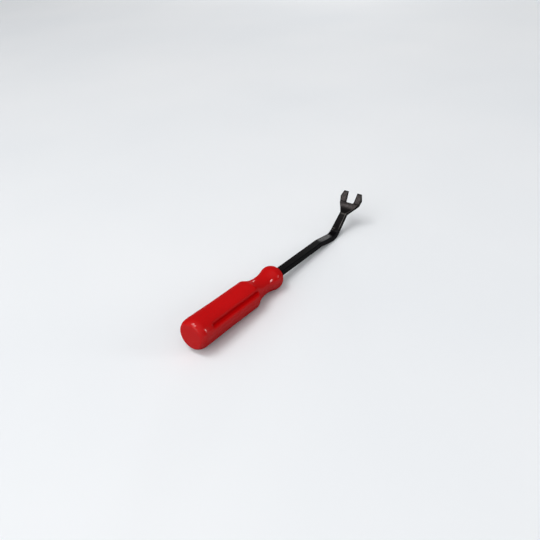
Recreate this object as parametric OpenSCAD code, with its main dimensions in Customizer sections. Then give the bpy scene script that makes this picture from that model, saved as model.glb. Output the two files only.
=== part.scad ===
// Clip lifting hand tool: a fluted plastic handle moulded round the tang of a
// cranked steel bar, whose far end is forged out into a thin two-pronged fork.
// It lies on its shoulder and heel, with the fork raised and the handle along X.

/* [Handle] */
// length of the handle from butt to nose
handle_len = 108.1; // [100:0.2:120]
// radius of the plain collar at the butt
collar_r = 13; // [13:0.1:15]
// where the plain collar ends, from the butt
collar_end = 10.4; // [9:0.5:13]
// radius of the rolled edge of the butt
butt_edge_r = 3.4; // [2:0.1:4.5]
// rise of the domed end of the butt
dome_h = 0.5; // [0.4:0.1:1.5]
// radius of the grip between its ends
grip_r = 12.6; // [11.8:0.1:12.9]
// where the taper from the collar reaches the grip
taper_end = 34; // [26:0.5:40]
// where the grip ends at the shoulder
shoulder_x = 68.3; // [62:0.2:70]
// radius of the rolled edge of the shoulder
shoulder_edge_r = 1.6; // [0.6:0.1:2]
// slope of the shoulder, degrees from the axis
shoulder_slope = 30; // [26:1:38]
// radius of the neck
neck_r = 8.3; // [7.6:0.1:8.8]
// radius of the hollow between shoulder and neck
neck_back_r = 30; // [14:1:40]
// radius of the hollow between neck and knob
neck_front_r = 34; // [20:1:60]
// where the knob begins to swell from the neck
knob_start = 89.8; // [88:0.2:91]
// slope of the swell, degrees from the axis
knob_slope = 14.7; // [12:0.1:18]
// radius of the knob
knob_r = 10.4; // [9.8:0.1:11]
// radius of the crown of the knob
knob_crown_r = 6; // [3:0.5:20]
// radius of the rounded nose
nose_r = 8.6; // [5:0.1:8.8]

/* [Flutes] */
// number of flutes round the grip
flute_count = 3; // [3:3:6]
// radius of the hollow of a flute
flute_r = 4.2; // [3:0.1:5]
// depth of a flute below the grip
flute_depth = 1.4; // [1:0.1:2]
// where the round end of each flute begins, from the butt
flute_start = 14.6; // [13:0.2:20]

/* [Bar] */
// width of the bar
bar_w = 7.4; // [6.6:0.1:8]
// thickness of the bar
bar_t = 5; // [4.6:0.1:5.4]
// radius of the bar's long edges
bar_edge_r = 0.5; // [0.3:0.1:1]
// straight length ahead of the handle
straight_len = 61.8; // [40:1:90]
// angle by which the bar dips toward the heel
dip_angle = 8; // [7.6:0.1:12]
// radius of the dip's bend at mid thickness
dip_bend_r = 12; // [8:0.5:20]
// straight length between dip and heel
dip_len = 17.5; // [15:0.1:24]
// angle at which the throat climbs from the heel
rise_angle = 39.7; // [36:0.1:44]
// radius of the heel's bend at mid thickness
heel_bend_r = 12; // [8:0.5:14]
// extra thickness on the outside of the heel
heel_swell = 0.3; // [0:0.1:1]
// straight length of the throat
throat_len = 18.8; // [14:0.2:26]
// width of the throat where the fork begins
throat_w = 6.6; // [5.8:0.1:7]
// thickness of the throat where the fork begins
throat_t = 4.4; // [4:0.1:4.8]

/* [Fork] */
// length of the dished root of the fork
root_len = 13.1; // [11:0.1:16]
// angle of the root
root_angle = 27.3; // [24:0.1:32]
// depth of the hollow dished into the root
dish_depth = 0.6; // [0.3:0.1:0.8]
// length of the prongs beyond the crease
prong_len = 10.4; // [8:0.1:12]
// angle of the prongs
prong_angle = 54; // [50:0.5:62]
// thickness at the crease
crease_t = 2.4; // [2.2:0.1:3]
// thickness at the tips of the prongs
tip_t = 1; // [0.8:0.1:1.6]
// width across the crease
crease_w = 20.8; // [19.2:0.2:22]
// width across the prongs where they are widest
fork_w = 23.3; // [22:0.1:25]
// width across the tips
tip_w = 19.1; // [17.6:0.1:20]
// width of the slot at its bottom
slot_w = 8.5; // [7:0.1:9]
// width of the slot at its mouth
slot_mouth_w = 10.6; // [9.2:0.1:11.2]
// radius in the corners of the slot
slot_corner_r = 1.2; // [0.5:0.1:2]

// where the flare begins, as a share of the root
flare_from = 0.03; // [0:0.01:0.2]
// where the flare ends, as a share of the root
flare_to = 0.96; // [0.7:0.01:1]
// straightness of the flare's edges
flare_straight = 0.9; // [0.3:0.05:1]
// where the prongs begin to narrow, as a share of their length
chamfer_from = 0.45; // [0.2:0.05:0.8]

/* [Tang] */
// length of bar held in the handle
tang_len = 62; // [54:1:70]
// width across the swaged ears that lock the tang
ear_w = 11; // [9:0.2:12]
// thickness of the ears
ear_t = 2.6; // [2:0.1:3]
// length of the ears
ear_len = 9; // [6:0.5:10]
// distance from the tang's end to the ears
ear_offset = 6; // [4:0.5:8]
// gap between tang and handle
tang_clearance = 0.05; // [0.02:0.01:0.1]

/* [Hidden] */
$fn = 96;
eps = 0.01;
arc_step = 6;
edge_step = 30;
edge_share = 0.98;
thin_edge_share = 0.3;
root_steps = 12;
prong_steps = 8;
handle_colour = [0.72, 0.07, 0.08];
blade_colour = [0.07, 0.07, 0.075];

// butt: the edge roll lies inside a shallow dome and touches it
edge_centre_r = collar_r - butt_edge_r;
dome_r = (edge_centre_r ^ 2 + dome_h ^ 2) / (2 * dome_h);
edge_centre_x = dome_r - sqrt((dome_r - butt_edge_r) ^ 2 - edge_centre_r ^ 2);

// handle outline
neck_start = shoulder_x + (grip_r - neck_r) / tan(shoulder_slope);
knob_full = knob_start + (knob_r - neck_r) / tan(knob_slope);
neck_mid = (neck_start + knob_start) / 2;

// flutes: one lies in the bend plane below
flute_axis_r = grip_r - flute_depth + flute_r;
flute_half_angle = acos((grip_r ^ 2 + flute_axis_r ^ 2 - flute_r ^ 2) / (2 * grip_r * flute_axis_r));
ridge_low = grip_r * cos(flute_half_angle);

// path of the bar's middle in the XZ plane, handle axis along X
function along(a, d) = d * [cos(a), sin(a)];
dip_start = [handle_len + straight_len, 0];
dip_end = dip_start + dip_bend_r * [sin(dip_angle), cos(dip_angle) - 1];
heel_start = dip_end + along(-dip_angle, dip_len);
heel_centre = heel_start + heel_bend_r * [sin(dip_angle), cos(dip_angle)];
heel_end = heel_centre + heel_bend_r * [sin(rise_angle), -cos(rise_angle)];
throat_end = heel_end + along(rise_angle, throat_len);
heel_angle = dip_angle + rise_angle;

// fork side outline in its own frame, which lies halfway between root and prongs
fork_angle = (root_angle + prong_angle) / 2;
half_fold = (prong_angle - root_angle) / 2;
throat_turn = rise_angle - fork_angle;
root_top = along(throat_turn + 90, throat_t / 2);
root_low = -root_top;
crease_top = root_top + along(-half_fold, root_len);
crease_low = crease_top - [0, crease_t];
tip_top = crease_top + along(half_fold, prong_len);
tip_low = tip_top + along(half_fold - 90, tip_t);

// pose: a line from the shoulder's ridges touches the heel or the knob, and lies level
shoulder_foot = [shoulder_x - shoulder_edge_r * tan(shoulder_slope / 2), -ridge_low];
heel_feet = [for (s = heel_stations()) s[0] - along(s[1] + 90, s[3] / 2)];
knob_feet = [for (q = handle_points()) if (q[1] > knob_start) [q[1], -q[0]]];
pitch = min([for (q = concat(heel_feet, knob_feet)) atan2(q[1] - shoulder_foot[1], q[0] - shoulder_foot[0])]);
function posed(p) = [p[0] * cos(pitch) + p[1] * sin(pitch), p[1] * cos(pitch) - p[0] * sin(pitch)];
lift = -posed(shoulder_foot)[1];
back_x = dome_r * (cos(pitch) - 1);
front_x = posed(in_fork(tip_low))[0];
mid_x = (back_x + front_x) / 2;

// corners of an outline: two neighbours share the edge between them
function unit(v) = v / norm(v);
function half_angle(a, p, b) = acos(unit(a - p) * unit(b - p)) / 2;
function turn(a, b) = atan2(a[0] * b[1] - a[1] * b[0], a * b);
function arc(centre, from, angle, step = arc_step) =
    let (n = max(1, ceil(abs(angle) / step - eps)))
    [for (i = [0 : n]) let (q = i * angle / n)
        centre + [from[0] * cos(q) - from[1] * sin(q), from[0] * sin(q) + from[1] * cos(q)]];
function rounded_corner(a, p, b, t, step) =
    let (
        first = p + unit(a - p) * t,
        last = p + unit(b - p) * t,
        centre = p + unit(unit(a - p) + unit(b - p)) * norm([t, t * tan(half_angle(a, p, b))])
    )
    arc(centre, first - centre, turn(first - centre, last - centre), step);

// outline through points [x, y, corner radius]
function eased(points, step = arc_step) =
    let (
        n = len(points),
        p = [for (q = points) [q[0], q[1]]],
        want = [for (i = [0 : n - 1])
            points[i][2] / tan(half_angle(p[(i + n - 1) % n], p[i], p[(i + 1) % n]))],
        reach = [for (i = [0 : n - 1])
            let (a = (i + n - 1) % n, b = (i + 1) % n)
            want[i] == 0 ? 0 : min(
                want[i],
                edge_share * norm(p[i] - p[a]) * want[i] / (want[i] + want[a]),
                edge_share * norm(p[b] - p[i]) * want[i] / (want[i] + want[b]))]
    )
    [for (i = [0 : n - 1]) each
        reach[i] > 0
            ? rounded_corner(p[(i + n - 1) % n], p[i], p[(i + 1) % n], reach[i], step)
            : [p[i]]];

// turns what was built along Z to lie along X
module lay_along_x() {
    rotate([90, 0, 90]) children();
}

module pose() {
    translate([-mid_x, 0, lift]) rotate([0, pitch, 0]) children();
}

// half outline of the handle: radius across, length up
function handle_points() =
    let (dome_angle = asin(edge_centre_r / (dome_r - butt_edge_r)))
    concat(
        arc([0, dome_r], [0, -dome_r], dome_angle),
        arc([edge_centre_r, edge_centre_x], butt_edge_r * [sin(dome_angle), -cos(dome_angle)], 90 - dome_angle),
        eased([
            [collar_r, edge_centre_x + eps, 0],
            [collar_r, collar_end, 0],
            [grip_r, taper_end, 0],
            [grip_r, shoulder_x, shoulder_edge_r],
            [neck_r, neck_start, neck_back_r],
            [neck_r, knob_start, neck_front_r],
            [knob_r, knob_full, knob_crown_r],
            [knob_r, handle_len, nose_r],
            [0, handle_len, 0]
        ])
    );

module flute() {
    translate([flute_start + flute_r, 0, flute_axis_r]) {
        sphere(flute_r);
        rotate([0, 90, 0]) cylinder(h = neck_mid - flute_start - flute_r, r = flute_r);
    }
}

// rounded rectangle, width across and thickness up, as a list of points
function bar_section(w, t, r) = eased([
    [-w / 2, -t / 2, r], [w / 2, -t / 2, r], [w / 2, t / 2, r], [-w / 2, t / 2, r]
], edge_step);

// ears swaged out of the tang, which stop it from turning or pulling out
module ears(g = 0) {
    translate([handle_len - tang_len + ear_offset - g, -ear_w / 2 - g, -ear_t / 2 - g])
        cube([ear_len + 2 * g, ear_w + 2 * g, ear_t + 2 * g]);
}

// pocket that the tang fills, a clearance wider all round
module tang_pocket() {
    g = tang_clearance;
    translate([handle_len - tang_len - g, 0, 0])
        lay_along_x() linear_extrude(2 * tang_len) polygon(bar_section(bar_w + 2 * g, bar_t + 2 * g, bar_edge_r));
    ears(g);
}

// stations along the blade: [middle, lean of the section, width, thickness, edge radius]
function bar_station(p, a, swell = 0) = [p - along(a + 90, swell / 2), a, bar_w, bar_t + swell, bar_edge_r];
function dip_stations() =
    let (ring = arc(dip_start - [0, dip_bend_r], [0, dip_bend_r], -dip_angle), n = len(ring) - 1)
    [for (i = [0 : n]) bar_station(ring[i], -i * dip_angle / n)];
function heel_stations() =
    let (ring = arc(heel_centre, heel_start - heel_centre, heel_angle), n = len(ring) - 1)
    [for (i = [0 : n]) bar_station(ring[i], i * heel_angle / n - dip_angle, heel_swell * (1 - i / n))];
function in_fork(p) = throat_end + along(fork_angle, p[0]) + along(fork_angle + 90, p[1]);
function fork_station(top, low, w) =
    let (v = top - low, edge_r = min(bar_edge_r, thin_edge_share * norm(v)))
    [in_fork((top + low) / 2), fork_angle + atan2(v[1], v[0]) - 90, w, norm(v), edge_r];
function mix(a, b, f) = a + f * (b - a);
function flare(f) = f < flare_from ? 0 : f > flare_to ? 1 : (f - flare_from) / (flare_to - flare_from);
function ease_in_out(f) = f < 0.5 ? 2 * f ^ 2 * (1 - flare_straight) + flare_straight * f
    : 1 - (2 * (1 - f) ^ 2 * (1 - flare_straight) + flare_straight * (1 - f));
function root_station(f) =
    fork_station(
        mix(root_top, crease_top, f) - along(90 - half_fold, 4 * dish_depth * f * (1 - f)),
        mix(root_low, crease_low, f),
        mix(throat_w, crease_w, ease_in_out(flare(f))));
function prong_station(f) =
    fork_station(
        mix(crease_top, tip_top, f),
        mix(crease_low, tip_low, f),
        f < chamfer_from ? mix(crease_w, fork_w, f / chamfer_from)
            : mix(fork_w, tip_w, (f - chamfer_from) / (1 - chamfer_from)));
blade_stations = concat(
    [bar_station([handle_len - tang_len, 0], 0)],
    dip_stations(),
    heel_stations(),
    [for (i = [0 : root_steps]) root_station(i / root_steps)],
    [for (i = [1 : prong_steps]) prong_station(i / prong_steps)]
);

// one closed loft through all stations, bar and fork together
module loft(stations) {
    rings = [for (s = stations)
        [for (q = bar_section(s[2], s[3], s[4]))
            let (p = s[0] + along(s[1] + 90, q[1])) [p[0], q[0], p[1]]]];
    n = len(rings[0]);
    m = len(rings);
    polyhedron(
        points = [for (ring = rings) each ring],
        faces = concat(
            [[for (i = [0 : n - 1]) i]],
            [[for (i = [n - 1 : -1 : 0]) (m - 1) * n + i]],
            [for (k = [0 : m - 2], i = [0 : n - 1]) [k * n + i, (k + 1) * n + i, (k + 1) * n + (i + 1) % n]],
            [for (k = [0 : m - 2], i = [0 : n - 1]) [k * n + i, (k + 1) * n + (i + 1) % n, k * n + (i + 1) % n]]
        ));
}

// clip slot between the prongs, cut square to the fork
module slot() {
    far_x = tip_low[0] + 2;
    translate([throat_end[0], 0, throat_end[1]]) rotate([0, -fork_angle, 0])
        linear_extrude(4 * root_len, center = true)
            polygon(eased([
                [crease_top[0], -slot_w / 2, slot_corner_r],
                [far_x, -slot_mouth_w / 2, 0],
                [far_x, slot_mouth_w / 2, 0],
                [crease_top[0], slot_w / 2, slot_corner_r]
            ]));
}

module handle() {
    color(handle_colour) pose() difference() {
        lay_along_x() rotate_extrude() polygon(handle_points());
        for (i = [0 : flute_count - 1])
            rotate([180 + i * 360 / flute_count, 0, 0]) flute();
        tang_pocket();
    }
}

module forked_blade() {
    color(blade_colour) pose() {
        difference() {
            loft(blade_stations);
            slot();
        }
        ears();
    }
}

handle();
forked_blade();
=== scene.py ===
import bpy
import bmesh
import math
import numpy as np
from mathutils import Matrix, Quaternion, Vector


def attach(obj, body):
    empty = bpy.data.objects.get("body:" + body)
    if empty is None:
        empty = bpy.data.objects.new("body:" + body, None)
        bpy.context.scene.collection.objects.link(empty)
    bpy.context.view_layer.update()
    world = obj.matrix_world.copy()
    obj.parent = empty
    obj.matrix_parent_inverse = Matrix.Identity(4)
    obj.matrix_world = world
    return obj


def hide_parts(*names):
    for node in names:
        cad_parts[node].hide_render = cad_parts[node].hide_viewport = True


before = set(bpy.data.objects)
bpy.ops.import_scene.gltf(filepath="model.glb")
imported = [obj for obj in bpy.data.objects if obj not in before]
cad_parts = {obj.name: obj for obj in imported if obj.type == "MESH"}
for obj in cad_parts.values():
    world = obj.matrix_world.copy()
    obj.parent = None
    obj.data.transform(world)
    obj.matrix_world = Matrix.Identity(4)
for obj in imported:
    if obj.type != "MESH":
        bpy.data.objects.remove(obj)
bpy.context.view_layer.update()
scene = bpy.context.scene
scene.view_settings.view_transform = "Standard"
print("frame in, nodes:", ", ".join(sorted(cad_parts)))

# the tool lies on its shoulder and heel, so its own axis is tipped by a few degrees
lay = {"pitch": math.radians(3.20277), "lift": 16.0546, "midX": 115.449}


def layDown(points):
    # millimetres along the handle axis -> metres on the floor
    p = np.asarray(points, float)
    c, s = math.cos(lay["pitch"]), math.sin(lay["pitch"])
    out = np.empty_like(p)
    out[:, 0] = p[:, 0] * c + p[:, 2] * s - lay["midX"]
    out[:, 1] = p[:, 1]
    out[:, 2] = p[:, 2] * c - p[:, 0] * s + lay["lift"]
    return out * 0.001


def onTool(mesh):
    # the way back: mesh vertices in millimetres along the handle axis
    co = np.empty(len(mesh.vertices) * 3)
    mesh.vertices.foreach_get("co", co)
    q = co.reshape(-1, 3) * 1000.0
    q[:, 0] += lay["midX"]
    q[:, 2] -= lay["lift"]
    c, s = math.cos(lay["pitch"]), math.sin(lay["pitch"])
    return np.stack([q[:, 0] * c - q[:, 2] * s, q[:, 1], q[:, 0] * s + q[:, 2] * c], 1)


def meshPiece(name, points, faces):
    mesh = bpy.data.meshes.new(name)
    mesh.from_pydata([tuple(v) for v in layDown(points)], [], faces)
    mesh.validate()
    mesh.polygons.foreach_set("use_smooth", [True] * len(mesh.polygons))
    piece = bpy.data.objects.new(name, mesh)
    scene.collection.objects.link(piece)
    return piece


def pointValues(mesh, name, values):
    layer = mesh.attributes.new(name, "FLOAT", "POINT")
    layer.data.foreach_set("value", np.asarray(values, np.float32))


def smoothStep(x, a, b):
    t = np.clip((np.asarray(x, float) - a) / (b - a), 0.0, 1.0)
    return t * t * (3 - 2 * t)


def arcPoints(centre, start, turn, stepDeg):
    n = max(1, math.ceil(abs(math.degrees(turn)) / stepDeg))
    dx, dy = start[0] - centre[0], start[1] - centre[1]
    out = []
    for i in range(n + 1):
        a = turn * i / n
        out.append((centre[0] + dx * math.cos(a) - dy * math.sin(a),
                    centre[1] + dx * math.sin(a) + dy * math.cos(a)))
    return out


def easedLine(corners, stepDeg=3.0):
    # open line through (x, y, radius), each corner rolled, neighbours share the run between them
    p = [Vector((x, y)) for x, y, r in corners]
    n = len(p)
    want = [0.0] * n
    for i in range(1, n - 1):
        a, b = (p[i - 1] - p[i]).normalized(), (p[i + 1] - p[i]).normalized()
        half = math.acos(max(-1.0, min(1.0, a.dot(b)))) / 2
        want[i] = corners[i][2] / math.tan(half)
    out = [tuple(p[0])]
    for i in range(1, n - 1):
        if want[i] <= 0:
            out.append(tuple(p[i]))
            continue
        back, ahead = (p[i] - p[i - 1]).length, (p[i + 1] - p[i]).length
        reach = min(want[i], 0.98 * back * want[i] / (want[i] + want[i - 1]),
                    0.98 * ahead * want[i] / (want[i] + want[i + 1]))
        a, b = (p[i - 1] - p[i]).normalized(), (p[i + 1] - p[i]).normalized()
        half = math.acos(max(-1.0, min(1.0, a.dot(b)))) / 2
        centre = p[i] + (a + b).normalized() * math.hypot(reach, reach * math.tan(half))
        first, last = p[i] + a * reach - centre, p[i] + b * reach - centre
        turn = math.atan2(first.x * last.y - first.y * last.x, first.dot(last))
        out += arcPoints(tuple(centre), tuple(centre + first), turn, stepDeg)
    out.append(tuple(p[-1]))
    return out


# handle: a turned outline with three flutes sunk into the grip
handleSpec = {
    "length": 108.1, "collarR": 13.0, "collarEnd": 10.4, "buttEdge": 3.5, "buttRun": 6.6, "domeR": 92.4,
    "gripR": 12.6, "taperEnd": 34.0, "shoulderAt": 68.3, "shoulderEdge": 1.6, "shoulderSlope": 30.0,
    "neckR": 8.3, "neckBack": 30.0, "neckFront": 34.0,
    "knobAt": 89.8, "knobSlope": 14.7, "knobR": 10.4, "knobCrown": 6.0, "noseEdge": 8.6,
    "collarEase": 14.0, "taperEase": 60.0,
    "flutes": 3, "fluteSpan": 31.0, "fluteDepth": 1.35, "fluteAt": 14.6, "fluteEnd": 0.7, "fluteRoll": 0.06,
    "fluteCurve": 1.3, "runOut": 0.5,
    "columns": 360, "flutePart": (13.5, 19.0), "fluteRun": 0.28,
    "shoulderPart": (66.0, 80.0), "shoulderRun": 0.5, "plainRun": 1.6,
}


def handleOutline(h):
    # the domed end rolls over in a long quarter oval that runs out on the collar
    edgeR, oval = h["collarR"] - h["buttEdge"], h["buttRun"] / h["buttEdge"]
    joinR = edgeR
    for _ in range(4):
        domeTurn = math.asin(joinR / h["domeR"])
        first = math.atan(math.tan(domeTurn) / oval)
        joinR = edgeR + h["buttEdge"] * math.sin(first)
    dome = arcPoints((h["domeR"], 0.0), (0.0, 0.0), -domeTurn, 1.2)
    edgeX = dome[-1][0] + h["buttRun"] * math.cos(first)
    roll = [(edgeX - h["buttRun"] * math.cos(a), edgeR + h["buttEdge"] * math.sin(a))
            for a in np.linspace(first, math.pi / 2, 30)]
    neckAt = h["shoulderAt"] + (h["gripR"] - h["neckR"]) / math.tan(math.radians(h["shoulderSlope"]))
    knobFull = h["knobAt"] + (h["knobR"] - h["neckR"]) / math.tan(math.radians(h["knobSlope"]))
    body = easedLine([
        (*roll[-1], 0), (h["collarEnd"], h["collarR"], h["collarEase"]),
        (h["taperEnd"], h["gripR"], h["taperEase"]),
        (h["shoulderAt"], h["gripR"], h["shoulderEdge"]), (neckAt, h["neckR"], h["neckBack"]),
        (h["knobAt"], h["neckR"], h["neckFront"]), (knobFull, h["knobR"], h["knobCrown"]),
        (h["length"], h["knobR"], h["noseEdge"]), (h["length"], 0.0, 0)])
    return dome + roll[1:] + body[1:]


def closeRuns(line, longest):
    # extra points where a run is longer than the surface there can take
    out = [line[0]]
    for a, b in zip(line, line[1:]):
        run = math.dist(a, b)
        if run < 1e-6:
            continue
        n = max(1, math.ceil(run / longest((a[0] + b[0]) / 2)))
        out += [(a[0] + (b[0] - a[0]) * i / n, a[1] + (b[1] - a[1]) * i / n) for i in range(1, n + 1)]
    return out


def softMin(a, b, k):
    t = np.clip(0.5 + 0.5 * (b - a) / k, 0.0, 1.0)
    return b + (a - b) * t - k * t * (1 - t)


def makeHandle(h):
    def longest(u):
        for part, run in (("flutePart", "fluteRun"), ("shoulderPart", "shoulderRun")):
            if h[part][0] < u < h[part][1]:
                return h[run]
        return h["plainRun"]
    line = closeRuns(handleOutline(h), longest)
    ring = h["columns"]
    phi = np.arange(ring) * 2 * math.pi / ring
    pitch = 2 * math.pi / h["flutes"]
    # angle from the nearest flute, one is below
    off = (phi + math.pi / 2 + pitch / 2) % pitch - pitch / 2
    span = np.sqrt((off / math.radians(h["fluteSpan"] / 2)) ** 2 + h["fluteRoll"] ** 2)
    # two plain flanks meeting in a soft bottom
    valley = h["fluteDepth"] * (1 - np.minimum(1, span)) ** h["fluteCurve"]
    points, sunk = [], []
    for u, r in line[1:-1]:
        rim = max(r, h["gripR"])
        blend = h["runOut"] * min(1.0, (rim - r) / h["runOut"]) + 1e-6
        floorR = rim - valley * float(smoothStep(u, h["fluteAt"], h["fluteAt"] + h["fluteEnd"]))
        radius = np.full(ring, r)
        if h["fluteAt"] < u < h["shoulderPart"][1]:
            radius = softMin(radius, floorR, blend)
        points.append(np.stack([np.full(ring, u), radius * np.cos(phi), radius * np.sin(phi)], 1))
        sunk.append(np.clip((r - radius) / h["fluteDepth"], 0, 1))
    rings = len(points)
    butt, nose = rings * ring, rings * ring + 1
    points = np.concatenate(points + [np.array([[line[0][0], 0, 0], [line[-1][0], 0, 0]])])
    sunk = np.concatenate(sunk + [np.zeros(2)])
    faces = []
    for i in range(rings - 1):
        for j in range(ring):
            k = (j + 1) % ring
            faces.append((i * ring + j, i * ring + k, (i + 1) * ring + k, (i + 1) * ring + j))
    for j in range(ring):
        k = (j + 1) % ring
        faces.append((butt, k, j))
        faces.append((nose, (rings - 1) * ring + j, (rings - 1) * ring + k))
    piece = meshPiece("red_handle", points, faces)
    pointValues(piece.data, "sunk", sunk)
    print("handle:", rings, "rings,", len(faces), "faces")
    return piece


# forked blade: one bar, cranked, forged out flat and slotted
bladeSpec = {
    "noseAt": 108.1, "tang": 62.0, "barW": 7.4, "barT": 5.0, "edge": 0.5,
    "straight": 61.8, "dip": 8.0, "dipBend": 12.0, "dipRun": 17.5,
    "rise": 39.7, "heelBend": 12.0, "heelSwell": 0.3, "throat": 18.8, "throatW": 6.6, "throatT": 4.4,
    "root": 13.1, "rootRise": 27.3, "dish": 0.6, "prong": 10.4, "prongRise": 54.0,
    "creaseT": 2.4, "tipT": 1.0, "creaseW": 20.8, "forkW": 23.3, "tipW": 19.1,
    "slotW": 8.3, "mouthW": 9.9, "slotCorner": 1.2,
    "flareFrom": 0.03, "flareTo": 0.96, "flareStraight": 0.9, "chamferFrom": 0.45,
    "slotEdge": 0.25, "tipEdge": 0.25, "lip": 0.55, "lipAt": 0.78, "lipSpread": 0.13, "mouthPast": 2.0,
    "barShare": 0.42, "greyThroat": 0.12, "greyRoot": (0.3, 0.75), "creaseShadeSpan": (0.9, 1.0),
    "creaseShadeDepth": 0.9, "greyProng": (0.02, 0.2), "greyTip": (0.84, 1.0),
}


def polar(deg, d):
    return np.array([math.cos(math.radians(deg)), math.sin(math.radians(deg))]) * d


def bladeStations(b):
    # each station: upper point, lower point (along, up), width, edge radius, slot half width above and below
    out = []

    def barAt(mid, lean, swell=0.0):
        n = polar(lean + 90, 1.0)
        out.append([mid + n * b["barT"] / 2, mid - n * (b["barT"] / 2 + swell), b["barW"], b["edge"], None])

    for u in np.concatenate([[b["noseAt"] - b["tang"], b["noseAt"] - 6.0],
                             np.linspace(b["noseAt"], b["noseAt"] + b["straight"], 22)]):
        barAt(np.array([u, 0.0]), 0.0)
    start = np.array([b["noseAt"] + b["straight"], 0.0])
    for a in np.linspace(0, b["dip"], 7)[1:]:
        t = math.radians(a)
        barAt(start + b["dipBend"] * np.array([math.sin(t), math.cos(t) - 1]), -a)
    t = math.radians(b["dip"])
    dipEnd = start + b["dipBend"] * np.array([math.sin(t), math.cos(t) - 1])
    for f in np.linspace(0, 1, 14)[1:]:
        barAt(dipEnd + polar(-b["dip"], b["dipRun"] * f), -b["dip"], b["heelSwell"] * f)
    heelStart = dipEnd + polar(-b["dip"], b["dipRun"])
    centre = heelStart + b["heelBend"] * np.array([math.sin(t), math.cos(t)])
    whole = b["dip"] + b["rise"]
    for f in np.linspace(0, 1, 22)[1:]:
        a = f * whole - b["dip"]
        mid = centre + b["heelBend"] * np.array([math.sin(math.radians(a)), -math.cos(math.radians(a))])
        barAt(mid, a, b["heelSwell"] * (1 - f))
    heelEnd = out[-1][0] / 2 + out[-1][1] / 2
    throatEnd = heelEnd + polar(b["rise"], b["throat"])

    # fork in its own frame, halfway between root and prongs
    lean = (b["rootRise"] + b["prongRise"]) / 2
    fold = (b["prongRise"] - b["rootRise"]) / 2
    rootTop = polar(b["rise"] - lean + 90, b["throatT"] / 2)
    creaseTop = rootTop + polar(-fold, b["root"])
    creaseLow = creaseTop - np.array([0, b["creaseT"]])
    tipTop = creaseTop + polar(fold, b["prong"])
    tipLow = tipTop + polar(fold - 90, b["tipT"])

    def toAxis(p):
        return throatEnd + polar(lean, p[0]) + polar(lean + 90, p[1])

    def edgeFor(top, low):
        return min(b["edge"], 0.3 * float(np.linalg.norm(top - low)))

    for f in [*np.linspace(0, 1, 12)[1:-1], 0.975]:        # throat, narrowing to the fork
        mid = heelEnd + (throatEnd - heelEnd) * f
        n = polar(b["rise"] + 90, (b["barT"] + (b["throatT"] - b["barT"]) * f) / 2)
        out.append([mid + n, mid - n, b["barW"] + (b["throatW"] - b["barW"]) * f, b["edge"], None])

    def eased(f):
        s = b["flareStraight"]
        if f < 0.5:
            return 2 * f * f * (1 - s) + s * f
        return 1 - (2 * (1 - f) ** 2 * (1 - s) + s * (1 - f))

    root = len(out)
    for f in np.concatenate([np.linspace(0, 0.94, 32), [0.975, 1.0]]):
        g = min(1.0, max(0.0, (f - b["flareFrom"]) / (b["flareTo"] - b["flareFrom"])))
        lip = b["lip"] * math.exp(-((f - b["lipAt"]) / b["lipSpread"]) ** 2) * (1 - f ** 12)
        sink = 4 * b["dish"] * f * (1 - f) - lip
        top = rootTop + (creaseTop - rootTop) * f - polar(90 - fold, sink)
        low = -rootTop + (creaseLow + rootTop) * f
        width = b["throatW"] + (b["creaseW"] - b["throatW"]) * eased(g)
        out.append([toAxis(top), toAxis(low), width, edgeFor(top, low), None])
    crease = len(out) - 1

    reach = tipLow[0] + b["mouthPast"] - creaseTop[0]

    def slotHalf(x):
        x = x - creaseTop[0]
        wall = (b["slotW"] + (b["mouthW"] - b["slotW"]) * x / reach) / 2
        r = b["slotCorner"]
        return wall - r + math.sqrt(max(0.0, r * r - max(0.0, r - x) ** 2))

    out[crease][4] = (slotHalf(creaseTop[0]), slotHalf(creaseTop[0]))
    run = b["prong"] * math.cos(math.radians(fold))
    corner = [b["slotCorner"] * (1 - math.cos(math.radians(a))) / run for a in (15, 30, 45, 60, 75, 90)]
    for f in corner + list(np.linspace(corner[-1], 1, 19)[1:]):
        top = creaseTop + (tipTop - creaseTop) * f
        low = creaseLow + (tipLow - creaseLow) * f
        c = b["chamferFrom"]
        if f < c:
            width = b["creaseW"] + (b["forkW"] - b["creaseW"]) * f / c
        else:
            width = b["forkW"] + (b["tipW"] - b["forkW"]) * (f - c) / (1 - c)
        out.append([toAxis(top), toAxis(low), width, edgeFor(top, low), (slotHalf(top[0]), slotHalf(low[0]))])
    return out, root, crease, throatEnd


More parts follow.
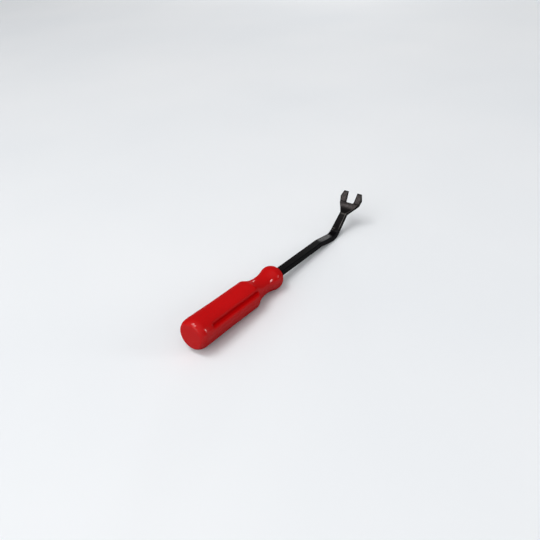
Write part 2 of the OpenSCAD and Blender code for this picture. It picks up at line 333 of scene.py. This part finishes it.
def makeBlade(b):
    stations, root, crease, throatEnd = bladeStations(b)
    n = len(stations)
    points, top, low, forged = [], [], [], []
    inner = stations[crease][4][0]
    for i, (hi, lo, width, edge, slot) in enumerate(stations):
        half = width / 2
        if slot is None:                       # where the slot's edges will run, further on
            widening = float(smoothStep(width, b["throatW"], b["creaseW"]))
            share = b["barShare"] + (inner / (b["creaseW"] / 2) - b["barShare"]) * widening
            slot = (half * share, half * share)
        f, g = (i - root) / (crease - root), (i - crease) / (n - 1 - crease)
        # painted shade: the grey is taken away towards the crease from both sides, a dark line in the fold
        # where the root turns up into the prongs
        if i <= crease:
            creaseShadeFactor = 1 - b["creaseShadeDepth"] * smoothStep(f, *b["creaseShadeSpan"])
            grey = max(b["greyThroat"] * float(smoothStep(i, root - 11, root - 5)),
                       float(smoothStep(f, *b["greyRoot"]) * creaseShadeFactor))
        else:
            grey = float(smoothStep(g, *b["greyProng"]) * (1 - smoothStep(g, *b["greyTip"])))
        for rows, p, s in ((top, hi, slot[0]), (low, lo, slot[1])):
            inset = min(max(0.22 * (half - s), 0.8), 0.45 * (half - s))
            row = []
            across = (-half, inset - half, -s - inset, -s, 0.0, s, s + inset, half - inset, half)
            for j, y in enumerate(across):
                if i > crease and j == 4:
                    row.append(None)
                    continue
                row.append(len(points))
                points.append((p[0], y, p[1]))
                rim = j in (0, 8) or (i >= crease and j in (3, 4, 5))
                forged.append(grey if rows is top and not rim else 0.0)
            rows.append(row)
    faces = []
    for i in range(n - 1):
        k = i + 1
        for j in range(8):
            if i >= crease and j in (3, 4):
                continue
            faces.append((top[i][j], top[k][j], top[k][j + 1], top[i][j + 1]))
            faces.append((low[i][j + 1], low[k][j + 1], low[k][j], low[i][j]))
        faces.append((low[i][0], low[k][0], top[k][0], top[i][0]))
        faces.append((top[i][8], top[k][8], low[k][8], low[i][8]))
        if i >= crease:
            faces.append((low[i][3], top[i][3], top[k][3], low[k][3]))
            faces.append((low[i][5], low[k][5], top[k][5], top[i][5]))
    for j in range(8):
        faces.append((low[0][j], top[0][j], top[0][j + 1], low[0][j + 1]))
        at = crease if j in (3, 4) else n - 1
        faces.append((low[at][j], low[at][j + 1], top[at][j + 1], top[at][j]))
    piece = meshPiece("black_forked_blade", points, faces)
    pointValues(piece.data, "forged", forged)

    # which edges get rolled, and how far
    roll = {}
    for i in range(n - 1):
        w = min(stations[i][3], stations[i + 1][3]) / b["edge"]
        for rows in (top, low):
            for j in (0, 8):
                roll[frozenset((rows[i][j], rows[i + 1][j]))] = w
            if i >= crease:
                for j in (3, 5):
                    roll[frozenset((rows[i][j], rows[i + 1][j]))] = b["slotEdge"] / b["edge"]
    for rows in (top, low):
        for j in (3, 4):
            roll[frozenset((rows[crease][j], rows[crease][j + 1]))] = b["slotEdge"] / b["edge"]
        for j in (0, 1, 2, 5, 6, 7):
            roll[frozenset((rows[-1][j], rows[-1][j + 1]))] = b["tipEdge"] / b["edge"]
    for j in (0, 3, 5, 8):
        roll[frozenset((top[-1][j], low[-1][j]))] = b["tipEdge"] / b["edge"]
    mesh = piece.data
    layer = mesh.attributes.new("bevel_weight_edge", "FLOAT", "EDGE")
    for e in mesh.edges:
        layer.data[e.index].value = roll.get(frozenset(e.vertices), 0.0)

    bevel = piece.modifiers.new("rolled edges", "BEVEL")
    bevel.limit_method = "WEIGHT"
    bevel.offset_type = "OFFSET"
    bevel.width = b["edge"] * 0.001
    bevel.segments = 4
    bevel.use_clamp_overlap = False
    bevel.miter_outer = "MITER_SHARP"
    flat = piece.modifiers.new("even shading", "WEIGHTED_NORMAL")
    flat.mode = "FACE_AREA"
    flat.weight = 60
    bakeDown(piece)
    wearAndHighlights(piece.data, throatEnd, wearAndHighlightSpec)
    print("blade:", n, "stations,", len(piece.data.polygons), "faces")
    return piece


def bakeDown(piece):
    # keep what the modifiers made as the mesh itself
    graph = bpy.context.evaluated_depsgraph_get()
    made = bpy.data.meshes.new_from_object(piece.evaluated_get(graph), preserve_all_data_layers=True,
                                           depsgraph=graph)
    old = piece.data
    piece.modifiers.clear()
    piece.data = made
    bpy.data.meshes.remove(old)


# millimetres back from the fork, degrees for the turn of an edge
wearAndHighlightSpec = {
    "turn": (14.0, 20.0), "leftSide": 0.15, "throatRubAndHighlight": (12.5, 15.0), "forkRubAndHighlight": (5.0, 9.0),
    "forkShare": 0.5, "everywhere": 0.1, "lipAt": 1.6, "lipSpread": (0.1, 0.4), "lipShare": 0.5,
    "patchFrom": (14.2, 15.2), "patchTo": (16.6, 17.6), "patchShare": 0.4,
}


def wearAndHighlights(mesh, throatEnd, w):
    # lighter along the edges that stand proud, part wearing and part painted highlight, most of all on the
    # throat's right one
    bm = bmesh.new()
    bm.from_mesh(mesh)
    turn, up, right = [], [], []
    for v in bm.verts:
        turns = [e.calc_face_angle_signed(0.0) for e in v.link_edges if len(e.link_faces) == 2]
        turn.append(max(0.0, max(turns, default=0.0)))
        up.append(v.normal.z)
        right.append(-v.normal.y)
    bm.free()
    up, right = np.array(up), np.array(right)
    back = throatEnd[0] - onTool(mesh)[:, 0]        # how far short of the fork
    topFace = smoothStep(up, 0.5, 0.7)
    arris = smoothStep(turn, *np.radians(w["turn"])) * smoothStep(up, 0.1, 0.3)
    side = w["leftSide"] + (1 - w["leftSide"]) * smoothStep(right, 0.2, 0.4)
    onFork = w["forkShare"] * (1 - smoothStep(-back, *w["forkRubAndHighlight"])) + w["everywhere"]
    along = np.where(back > 0, 1 - smoothStep(back, *w["throatRubAndHighlight"]), onFork)
    # a lighter line across the top at the fork, a painted highlight on the edge there
    lip = (1 - smoothStep(np.abs(back - w["lipAt"]), *w["lipSpread"])) * topFace
    pointValues(mesh, "wornAndHighlight", np.maximum(arris * side * along, w["lipShare"] * lip))
    # a lighter patch where the throat leaves the heel, part scraping and part a painted highlight
    patch = smoothStep(back, *w["patchFrom"]) * (1 - smoothStep(back, *w["patchTo"])) * topFace
    pointValues(mesh, "scrapedAndHighlight", patch * w["patchShare"])


# finishes
class Nodes:
    # shorthand for laying out a material
    def __init__(self, name):
        self.material = bpy.data.materials.new(name)
        self.material.use_nodes = True
        self.tree = self.material.node_tree
        self.shader = self.tree.nodes["Principled BSDF"]
        self.coords = self.tree.nodes.new("ShaderNodeTexCoord").outputs["Object"]

    def add(self, kind, values=None, **settings):
        node = self.tree.nodes.new(kind)
        for key, value in settings.items():
            setattr(node, key, value)
        for key, value in (values or {}).items():
            if isinstance(value, bpy.types.NodeSocket):
                self.tree.links.new(value, node.inputs[key])
            else:
                node.inputs[key].default_value = value
        return node

    def stretched(self, scale):
        return self.add("ShaderNodeMapping", {"Vector": self.coords, "Scale": scale}).outputs[0]

    def noise(self, scale, detail=4.0, rough=0.55, vector=None):
        values = {"Vector": vector or self.coords, "Scale": scale, "Detail": detail, "Roughness": rough}
        return self.add("ShaderNodeTexNoise", values).outputs["Fac"]

    def remap(self, value, a, b, c=0.0, d=1.0):
        return self.add("ShaderNodeMapRange", {"Value": value, "From Min": a, "From Max": b, "To Min": c,
                                               "To Max": d}).outputs[0]

    def math(self, kind, a, b):
        return self.add("ShaderNodeMath", {0: a, 1: b}, operation=kind).outputs[0]

    def tint(self, fac, a, b):
        return self.add("ShaderNodeMix", {0: fac, 6: a, 7: b}, data_type="RGBA").outputs[2]

    def value(self, name):
        return self.add("ShaderNodeAttribute", attribute_name=name).outputs["Fac"]

    def bump(self, height, strength, distance, normal=None):
        values = {"Height": height, "Strength": strength, "Distance": distance}
        if normal:
            values["Normal"] = normal
        return self.add("ShaderNodeBump", values).outputs[0]

    def wire(self, name, value):
        if isinstance(value, bpy.types.NodeSocket):
            self.tree.links.new(value, self.shader.inputs[name])
        else:
            self.shader.inputs[name].default_value = value


def srgb(r, g, b):
    out = []
    for v in (r, g, b):
        v /= 255.0
        out.append(v / 12.92 if v <= 0.04045 else ((v + 0.055) / 1.055) ** 2.4)
    return (*out, 1.0)


plasticSpec = {
    "red": srgb(192, 8, 10), "deep": srgb(176, 5, 8), "grooveShade": srgb(168, 2, 5), "lighterTone": srgb(193, 16, 18),
    "cloud": 55.0, "peel": 900.0, "gloss": 0.1, "film": 0.085,
}


def redPlastic(p):
    m = Nodes("red_moulded_plastic")
    cloud = m.remap(m.noise(p["cloud"], 3.0), 0.35, 0.68)
    flow = m.remap(m.noise(38.0, 2.0, 0.5, m.stretched((0.35, 1.6, 1.6))), 0.3, 0.72)
    colour = m.tint(m.math("MULTIPLY", cloud, 0.45), p["red"], p["deep"])
    colour = m.tint(m.math("MULTIPLY", flow, 0.25), colour, p["lighterTone"])
    # painted shade: the flutes' floors and deeper flanks are darkened in the base colour
    colour = m.tint(m.remap(m.value("sunk"), 0.2, 0.55, 0.0, 0.9), colour, p["grooveShade"])
    m.wire("Base Color", colour)
    m.wire("Roughness", 0.5)
    m.wire("Coat Roughness", p["gloss"])
    peel = m.bump(m.noise(p["peel"], 2.0, 0.4), 0.05, 0.0004)
    waves = m.bump(m.noise(90.0, 1.0, 0.3), 0.06, 0.0015, peel)
    m.wire("Normal", waves)
    m.wire("Coat Normal", waves)
    m.wire("Specular IOR Level", 0.0)
    # dull down in the flutes
    m.wire("Coat Weight", m.remap(m.value("sunk"), 0.08, 0.5, p["film"], p["film"] * 0.1))
    m.wire("Coat IOR", 2.6)
    return m.material


steelSpec = {
    "black": srgb(8, 7, 8), "soot": srgb(7, 6, 7), "forge": srgb(80, 75, 74), "bareAndHighlight": srgb(140, 135, 131),
    "grain": 1500.0, "smooth": 0.3, "rough": 0.45,
}


def blackSteel(p):
    m = Nodes("black_finished_steel")
    cloud = m.remap(m.noise(70.0, 4.0), 0.32, 0.7)
    grain = m.noise(p["grain"], 6.0, 0.7)
    # forge grey on the fork's top, with the painted shade at the crease
    forged = m.value("forged")
    colour = m.tint(cloud, p["black"], p["soot"])
    scale = m.remap(m.noise(520.0, 5.0, 0.6), 0.42, 0.68)
    colour = m.tint(m.math("MULTIPLY", forged, m.remap(scale, 0, 1, 0.45, 0.9)), colour, p["forge"])
    # lighter uncoated metal on the proud edges, the line at the fork and the heel patch: part wearing, part
    # painted highlight
    lighterTone = m.math("MULTIPLY", m.value("wornAndHighlight"), m.remap(m.noise(260.0, 5.0, 0.7), 0.38, 0.6, 0.45, 1.0))
    scrapeAndHighlightNoise = m.remap(m.noise(900.0, 4.0, 0.6, m.stretched((0.5, 0.25, 0.5))), 0.5, 0.62)
    lighterTone = m.math("MAXIMUM", m.math("MULTIPLY", lighterTone, 0.6), m.math("MULTIPLY", m.value("scrapedAndHighlight"), scrapeAndHighlightNoise))
    colour = m.tint(lighterTone, colour, p["bareAndHighlight"])
    m.wire("Base Color", colour)
    m.wire("Specular IOR Level", 0.02)
    m.wire("Metallic", m.math("MULTIPLY", forged, 0.5))
    m.wire("Roughness", m.math("ADD", m.remap(grain, 0.3, 0.7, p["smooth"], p["smooth"] + 0.1),
                               m.math("MULTIPLY", forged, p["rough"] - p["smooth"])))
    pits = m.bump(grain, m.remap(forged, 0, 1, 0.06, 0.22), 0.0003)
    mill = m.bump(m.noise(160.0, 3.0, 0.5, m.stretched((0.2, 1.0, 1.0))), 0.05, 0.0008, pits)
    m.wire("Normal", mill)
    return m.material


handle = makeHandle(handleSpec)
blade = makeBlade(bladeSpec)
handle.data.materials.append(redPlastic(plasticSpec))
blade.data.materials.append(blackSteel(steelSpec))
for piece, node, finish in ((handle, "handle", "handle_plastic"), (blade, "forked_blade", "blade_steel")):
    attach(piece, "root")
    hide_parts(node)
print("pieces dressed")

# floor, light and camera
studioSpec = {
    "pale": srgb(238, 240, 242), "pale2": srgb(233, 236, 239), "bounce": srgb(140, 140, 142),
    "skyFront": (-0.75, -0.15, 0.65), "skyFall": (0.0, 0.75),
    "skyDim": (0.24, 0.24, 0.243, 1.0), "skyBright": (0.77, 0.772, 0.778, 1.0),
}
lampSpec = {
    "front_light": {"at": (-1.71, 0.0, 1.07), "aim": (0.0, 0.0, 0.01), "size": (1.44, 1.44), "power": 11.2},
    "top_light": {"at": (-0.586, 0.306, 1.69), "aim": (-0.1, 0.0, 0.02), "size": (0.94, 0.36), "power": 9.6,
                  "roll": 15.0},
    "right_light": {"at": (0.948, -1.76, 0.74), "aim": (-0.06, 0.0, 0.02), "size": (0.16, 0.76),
                    "power": 6.5},
    "back_light": {"at": (1.66, 0.95, 0.329), "aim": (0.05, 0.0, 0.01), "size": (0.22, 0.16), "power": 3.7},
    "butt_shine": {"at": (-0.586, 0.306, 1.69), "aim": (-0.1, 0.0, 0.02), "size": (0.94, 0.8), "power": 20.0,
                   "roll": 15.0, "shine": True},
    "rim_shine": {"at": (0.92, -1.78, 0.74), "aim": (-0.06, 0.0, 0.02), "size": (0.26, 0.7), "power": 5.5,
                  "shine": True},
}


def makeFloor(s):
    mesh = bpy.data.meshes.new("pale_floor")
    mesh.from_pydata([(-6, -6, 0), (6, -6, 0), (6, 6, 0), (-6, 6, 0)], [], [(0, 1, 2, 3)])
    piece = bpy.data.objects.new("pale_floor", mesh)
    scene.collection.objects.link(piece)
    m = Nodes("pale_floor")
    path = m.add("ShaderNodeLightPath")
    seen = m.math("MAXIMUM", m.math("MAXIMUM", path.outputs["Is Camera Ray"], path.outputs["Is Glossy Ray"]),
                  path.outputs["Is Transmission Ray"])
    pale = m.tint(m.remap(m.noise(3.0, 2.0), 0.3, 0.7), s["pale"], s["pale2"])
    # pale to look at, a little less light thrown back up
    m.wire("Base Color", m.tint(seen, s["bounce"], pale))
    m.wire("Roughness", 0.85)
    m.wire("Specular IOR Level", 0.2)
    mesh.materials.append(m.material)


def makeSky(s):
    # a large soft source up front, falling off to a dim back
    world = bpy.data.worlds.new("studio")
    scene.world = world
    world.use_nodes = True
    tree = world.node_tree
    coords = tree.nodes.new("ShaderNodeTexCoord")
    facing = tree.nodes.new("ShaderNodeVectorMath")
    facing.operation = "DOT_PRODUCT"
    facing.inputs[1].default_value = Vector(s["skyFront"]).normalized()
    fall = tree.nodes.new("ShaderNodeMapRange")
    fall.interpolation_type = "SMOOTHSTEP"
    fall.inputs["From Min"].default_value, fall.inputs["From Max"].default_value = s["skyFall"]
    blend = tree.nodes.new("ShaderNodeMix")
    blend.data_type = "RGBA"
    blend.inputs[6].default_value = s["skyDim"]
    blend.inputs[7].default_value = s["skyBright"]
    tree.links.new(coords.outputs["Generated"], facing.inputs[0])
    tree.links.new(facing.outputs["Value"], fall.inputs["Value"])
    tree.links.new(fall.outputs[0], blend.inputs[0])
    tree.links.new(blend.outputs[2], tree.nodes["Background"].inputs["Color"])


def makeLamp(name, spec):
    lamp = bpy.data.lights.new(name, "AREA")
    lamp.shape = "RECTANGLE"
    lamp.size, lamp.size_y = spec["size"]
    lamp.energy = spec["power"]
    piece = bpy.data.objects.new(name, lamp)
    piece.location = spec["at"]
    aim = (Vector(spec["aim"]) - Vector(spec["at"])).to_track_quat("-Z", "Y")
    piece.rotation_euler = (aim @ Quaternion((0, 0, 1), math.radians(spec.get("roll", 0.0)))).to_euler()
    piece.visible_diffuse = not spec.get("shine", False)        # a shine lamp only shows in the gloss
    scene.collection.objects.link(piece)


makeFloor(studioSpec)
makeSky(studioSpec)
for name, spec in lampSpec.items():
    makeLamp(name, spec)

cameraSpec = {"at": (-0.365297, -0.293415, 0.325686), "turn": (55.94731, 4.17145, -52.70365), "lens": 43.9646}
camera = bpy.data.objects.new("camera", bpy.data.cameras.new("camera"))
camera.data.sensor_width = 36.0
camera.data.lens = cameraSpec["lens"]
camera.data.clip_start = 0.01
camera.location = cameraSpec["at"]
camera.rotation_euler = [math.radians(a) for a in cameraSpec["turn"]]
scene.collection.objects.link(camera)
scene.camera = camera
print("stage set")

bpy.context.view_layer.update()
